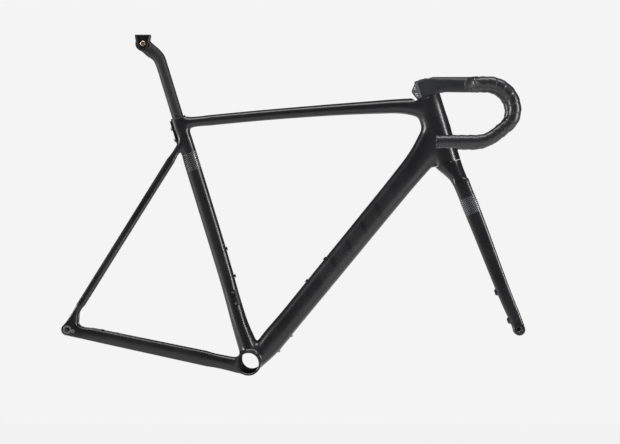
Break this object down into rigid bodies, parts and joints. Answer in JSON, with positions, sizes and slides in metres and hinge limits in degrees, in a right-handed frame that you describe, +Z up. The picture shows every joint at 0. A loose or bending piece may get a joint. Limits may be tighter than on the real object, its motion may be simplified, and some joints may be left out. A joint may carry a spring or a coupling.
{
  "type": "bicycle frame",
  "caption": "Carbon road frameset with fork, one-piece stem and dropped handlebar in black tape, set-back seatpost and saddle clamp.",
  "frame": {"origin": "centre of the bottom-bracket shell's bore", "axes": "+X forward to the front axle, +Y to the rider's left along the bottom-bracket bore, +Z up"},
  "size_m": [1.0404, 0.4504, 0.7666],
  "materials": {
    "frame_carbon": "satin black clear coat over unidirectional carbon",
    "fork_carbon": "satin black clear coat over unidirectional carbon",
    "cockpit_carbon": "satin black",
    "post_carbon": "matte dark grey carbon",
    "bar_tape": "glossy black cork tape",
    "black_metal": "black anodised",
    "steel": "brushed steel",
    "silver_metal": "machined aluminium",
    "bronze_bolt": "bronze coloured bolt",
    "rubber": "matte rubber",
    "badge": "blank grey badge",
    "bearing_steel": "polished bearing steel"
  },
  "bodies": {
    "frame": {"head_tube": "frame_carbon", "top_tube": "frame_carbon", "down_tube": "frame_carbon", "seat_tube": "frame_carbon", "bb_shell": "frame_carbon", "chainstay_left": "frame_carbon", "chainstay_right": "frame_carbon", "seatstay_left": "frame_carbon", "seatstay_right": "frame_carbon", "dropout_left": "frame_carbon", "dropout_right": "frame_carbon", "hanger_insert": "silver_metal", "hanger_screw": "steel", "rear_brake_inserts": "silver_metal", "upper_bearing_outer_race": "bearing_steel", "lower_bearing_outer_race": "bearing_steel", "seat_clamp_plate": "black_metal", "seat_clamp_pad": "black_metal", "seat_clamp_bolts": "steel", "seatpost_gasket": "rubber", "derailleur_cover": "black_metal", "derailleur_cover_screws": "steel", "seat_tube_grommet": "rubber", "down_tube_port_cover": "black_metal", "port_screws": "steel", "bottle_bolts": "black_metal", "head_badge": "badge"},
    "upper_cage": {"upper_ball_cage": "bearing_steel"},
    "lower_cage": {"lower_ball_cage": "bearing_steel"},
    "fork": {"steerer_tube": "fork_carbon", "fork_crown": "fork_carbon", "fork_leg_left": "fork_carbon", "fork_leg_right": "fork_carbon", "fork_axle_insert_left": "silver_metal", "fork_axle_insert_right": "silver_metal", "upper_bearing_inner_race": "bearing_steel", "lower_bearing_inner_race": "bearing_steel", "compression_ring": "silver_metal", "headset_cover": "black_metal", "expander_plug": "silver_metal", "preload_bolt": "steel", "stem": "cockpit_carbon", "stem_clamp_bolts": "steel", "stem_top_cap": "black_metal", "handlebar_top": "cockpit_carbon", "handlebar_drop_left": "cockpit_carbon", "handlebar_drop_right": "cockpit_carbon", "bar_tape_left": "bar_tape", "bar_tape_right": "bar_tape", "finishing_tape": "rubber", "bar_end_plug_left": "black_metal", "bar_end_plug_right": "black_metal"},
    "seatpost": {"seatpost": "post_carbon"},
    "saddle_clamp": {"saddle_ear_left": "silver_metal", "saddle_ear_right": "silver_metal", "saddle_clamp_bolt": "bronze_bolt", "saddle_clamp_nut": "steel", "saddle_cradle": "black_metal"}
  },
  "joints": [
    {"name": "steering", "type": "hinge", "parent": "frame", "child": "fork", "pos_m": [0.3992, 0, 0.5979], "axis": [-0.299, 0, 0.9542], "range_deg": [-65, 65]},
    {"name": "upper_bearing_cage", "type": "hinge", "parent": "frame", "child": "upper_cage", "pos_m": [0.40144, 0, 0.59074], "axis": [-0.299, 0, 0.9542], "range_deg": [-32.5, 32.5]},
    {"name": "lower_bearing_cage", "type": "hinge", "parent": "frame", "child": "lower_cage", "pos_m": [0.44406, 0, 0.45476], "axis": [-0.299, 0, 0.9542], "range_deg": [-32.5, 32.5]},
    {"name": "seatpost_slide", "type": "slide", "parent": "frame", "child": "seatpost", "axis": [-0.294, 0, 0.9558], "range_m": [-0.1, 0.08]},
    {"name": "saddle_clamp_tilt", "type": "hinge", "parent": "seatpost", "child": "saddle_clamp", "pos_m": [-0.23757, 0, 0.71855], "axis": [0, 1, 0], "range_deg": [-10, 10]}
  ],
  "couplings": [
    {"joint": "upper_bearing_cage", "follows": "steering", "ratio": 0.5},
    {"joint": "lower_bearing_cage", "follows": "steering", "ratio": 0.5}
  ]
}
